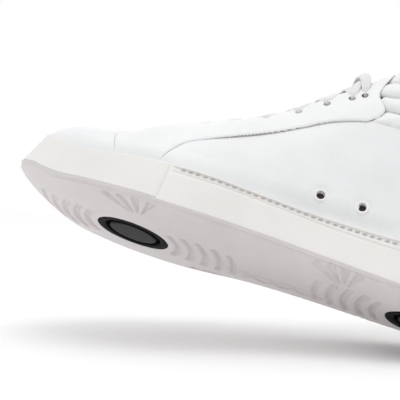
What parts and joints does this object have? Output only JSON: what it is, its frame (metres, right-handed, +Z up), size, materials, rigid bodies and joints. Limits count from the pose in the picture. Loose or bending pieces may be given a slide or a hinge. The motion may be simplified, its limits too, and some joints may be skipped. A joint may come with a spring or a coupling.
{
  "type": "high-top sneaker",
  "caption": "White leather court high top, right shoe, with a cup outsole, black pivot pods under ball and heel, lace-up front, ribbed padded collar and hinged tongue.",
  "frame": {"origin": "on the ground, under the middle of the outsole", "axes": "+X from the toe to the heel, +Y to the lateral (outer) side, +Z up"},
  "size_m": [0.2966, 0.1088, 0.1687],
  "materials": {
    "white_rubber": "matte moulded rubber",
    "pod_ring": "matte black rubber",
    "pod_disc": "smooth glossy black plastic",
    "foam": "soft closed-cell foam",
    "board": "stitched fibre board",
    "shank": "stiff plastic plate",
    "white_leather": "smooth white leather, slight sheen",
    "lining": "woven lining",
    "stiffener": "moulded stiffener",
    "white_enamel": "white enamelled metal",
    "lace": "woven flat lace"
  },
  "bodies": {
    "shoe": {"outsole_cup": "white_rubber", "toe_bumper": "white_rubber", "forefoot_pod_ring": "pod_ring", "forefoot_pod_disc": "pod_disc", "heel_pod_ring": "pod_ring", "heel_pod_disc": "pod_disc", "shank_plate": "shank", "midsole_foam": "foam", "insole_board": "board", "vamp": "white_leather", "medial_eyestay": "white_leather", "lateral_eyestay": "white_leather", "medial_quarter": "white_leather", "lateral_quarter": "white_leather", "collar_rib_1": "white_leather", "collar_rib_2": "white_leather", "collar_rib_3": "white_leather", "collar_rib_4": "white_leather", "heel_patch": "white_leather", "heel_counter": "stiffener", "toe_puff": "stiffener", "vamp_lining": "lining", "quarter_lining": "lining", "collar_foam": "foam", "collar_lining": "lining", "vent_grommets": "white_enamel", "vent_washers": "white_enamel", "lace": "lace"},
    "tongue": {"tongue_shell": "white_leather", "tongue_foam": "foam", "tongue_lining": "lining"},
    "footbed": {"footbed": "lining"}
  },
  "joints": [
    {"name": "tongue_swing", "type": "hinge", "parent": "shoe", "child": "tongue", "pos_m": [-0.084, 0, 0.052], "axis": [0, 1, 0], "range_deg": [0, 8], "stiffness_Nm_per_rad": 0.3, "springref_deg": -11.46},
    {"name": "footbed_lift", "type": "hinge", "parent": "shoe", "child": "footbed", "pos_m": [-0.118, 0, 0.0211], "axis": [0, -1, 0], "range_deg": [0, 8]}
  ]
}
